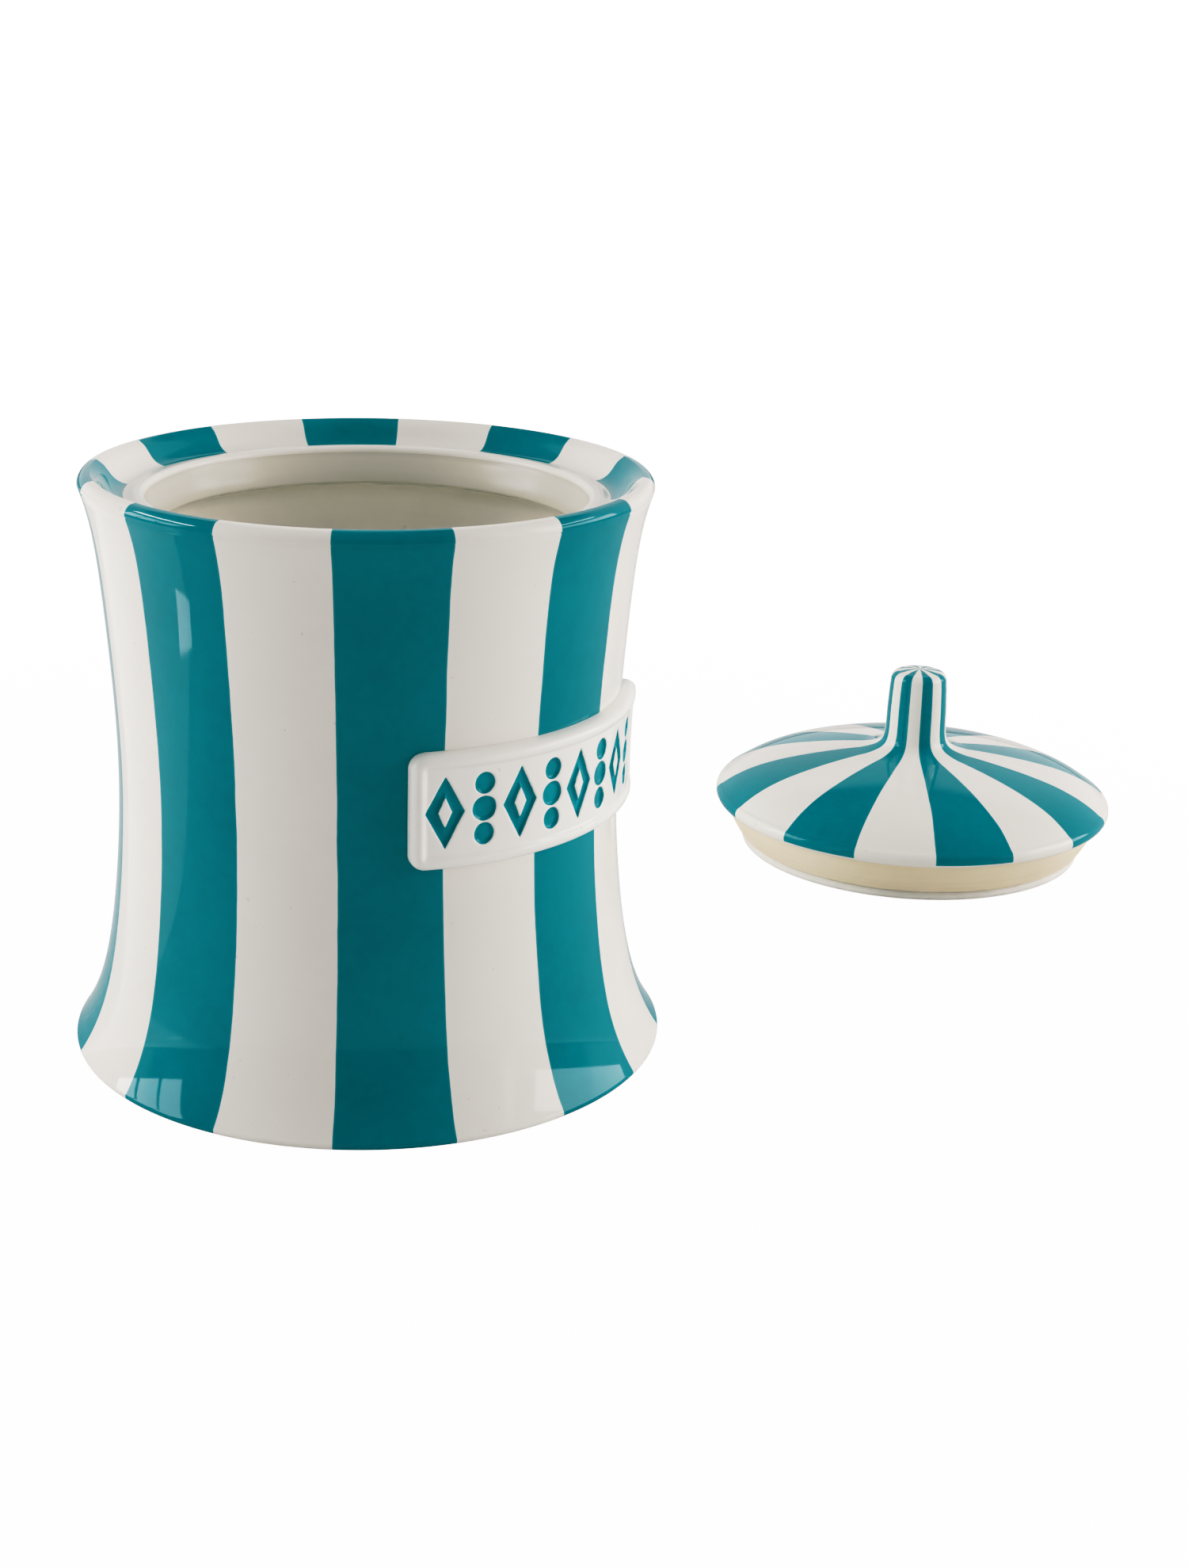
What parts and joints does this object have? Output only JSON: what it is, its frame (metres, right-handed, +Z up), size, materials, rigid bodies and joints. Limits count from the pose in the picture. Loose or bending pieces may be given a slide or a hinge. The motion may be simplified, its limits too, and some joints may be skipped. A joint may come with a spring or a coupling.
{
  "type": "apothecary jar",
  "caption": "Waisted porcelain storage jar with a striped glaze, a raised banner, an inner lip and a neck, shown open with its knobbed, sealed lid lying beside it.",
  "frame": {"origin": "centre of the jar's foot, in the plane of the surface that the jar and the lid stand on", "axes": "+Z up the jar's axis, -Y out through the middle of the banner, +X towards the side where the lid lies"},
  "size_m": [0.4137, 0.2129, 0.1728],
  "materials": {
    "jar_porcelain": "gloss glaze, off-white with teal stripes",
    "banner_porcelain": "gloss glaze, off-white",
    "lid_porcelain": "gloss glaze, teal and off-white stripes",
    "seal_silicone": "satin cream translucent silicone"
  },
  "bodies": {
    "jar": {"jar_body": "jar_porcelain", "label_plaque": "banner_porcelain"},
    "lid": {"lid": "lid_porcelain", "lid_seal": "seal_silicone"}
  },
  "joints": [
    {"name": "lid_lift", "type": "slide", "parent": "jar", "child": "lid", "axis": [0, 0, 1], "range_m": [0, 0.2]}
  ]
}
